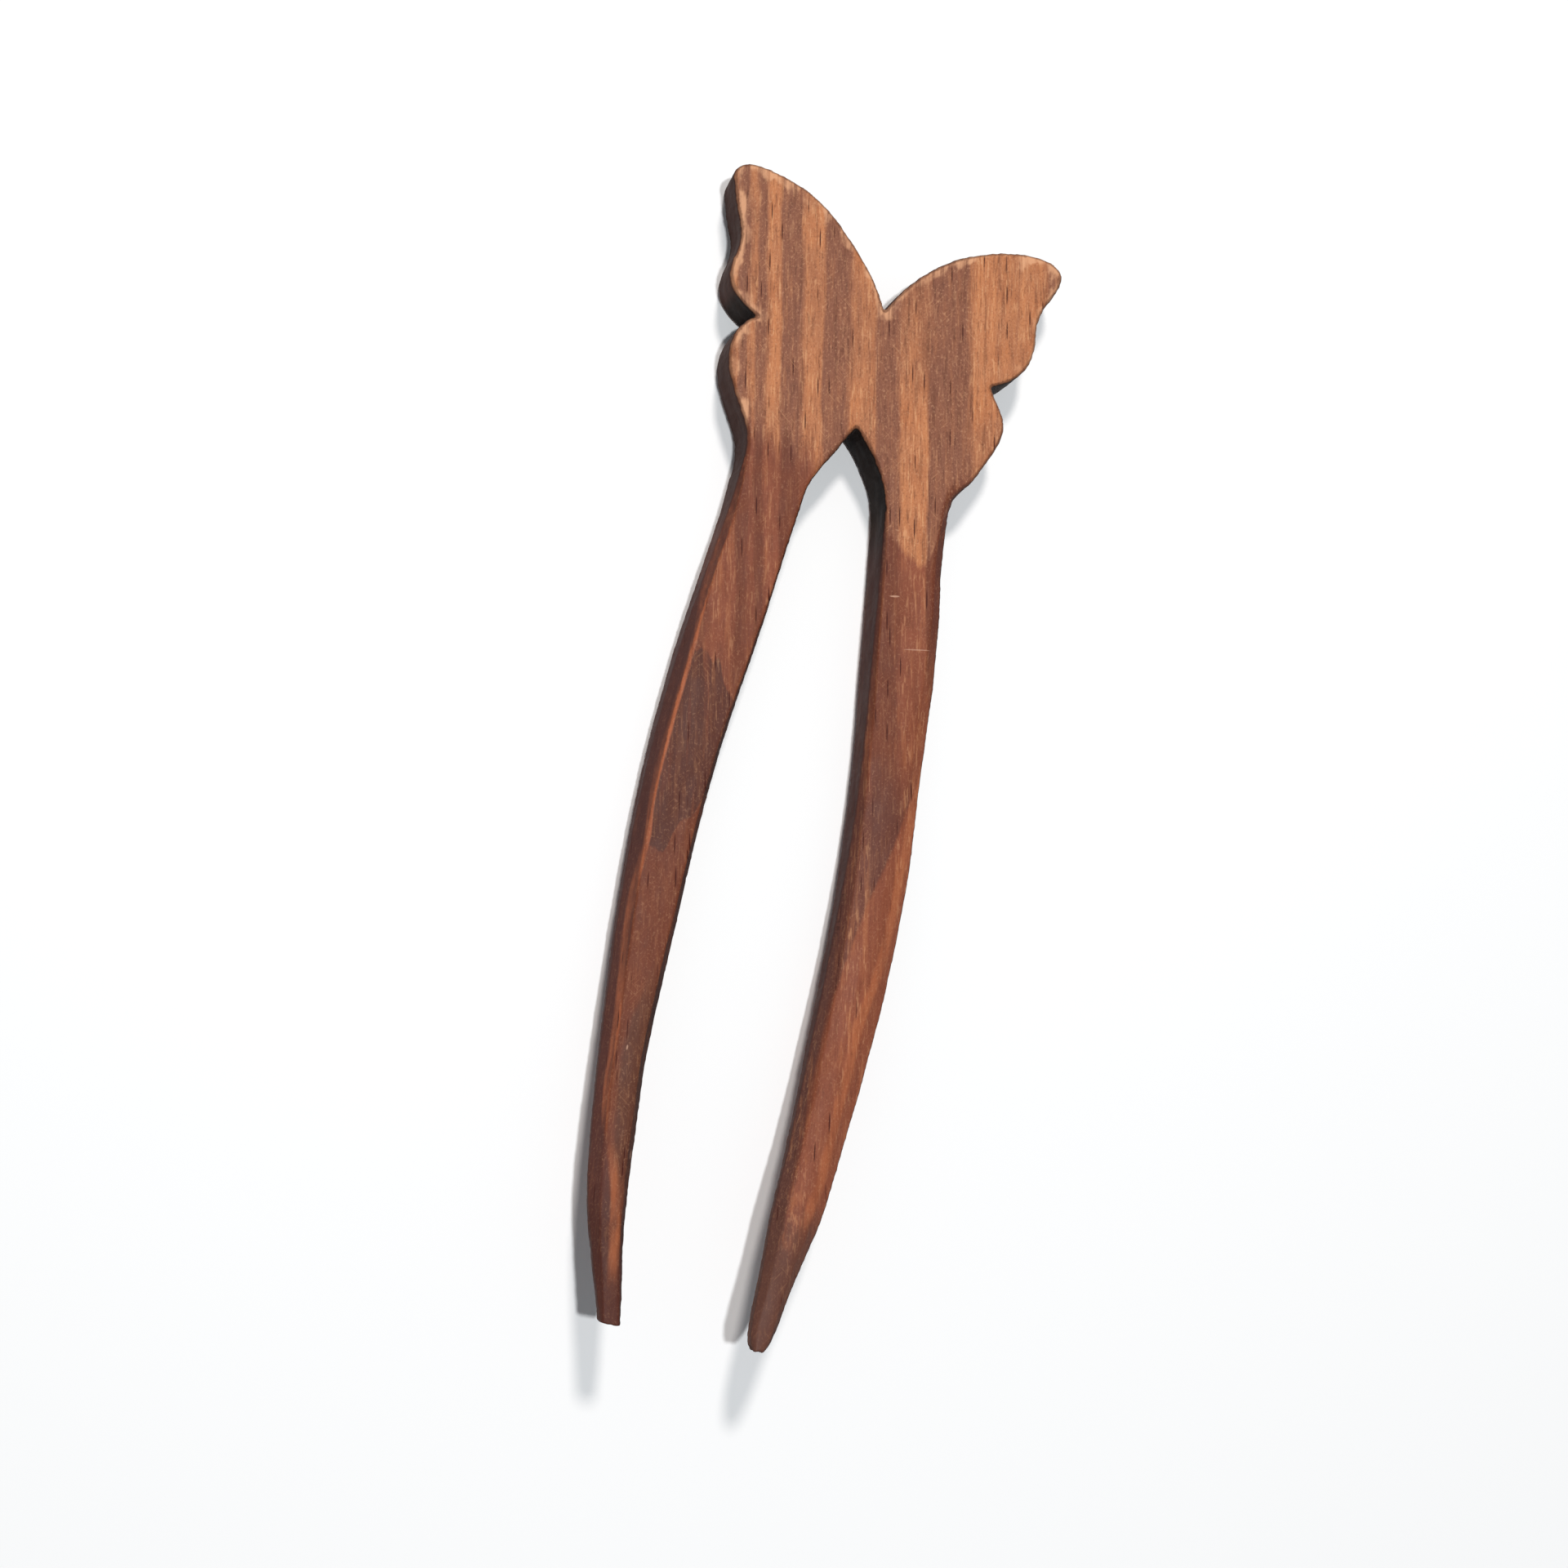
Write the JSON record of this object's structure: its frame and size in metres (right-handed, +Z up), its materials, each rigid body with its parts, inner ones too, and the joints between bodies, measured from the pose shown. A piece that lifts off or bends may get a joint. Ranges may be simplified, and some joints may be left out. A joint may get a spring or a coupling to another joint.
{
  "type": "hair fork",
  "caption": "Slim carved wooden hair fork that holds a bun: a flat butterfly head with curved wings above long bowed prongs that taper and curl up to blunt tips.",
  "frame": {"origin": "middle of the underside of the bounding box, on the surface that the fork lies on", "axes": "+Y from the prong tips to the head, +X to the right wing, +Z up through the board's thickness"},
  "size_m": [0.0532, 0.1707, 0.0165],
  "materials": {
    "stained_wood": "rubbed oil stain, satin, with open grain and worn edges"
  },
  "bodies": {
    "root": {"butterfly_head": "stained_wood", "left_prong": "stained_wood", "right_prong": "stained_wood"}
  },
  "joints": []
}
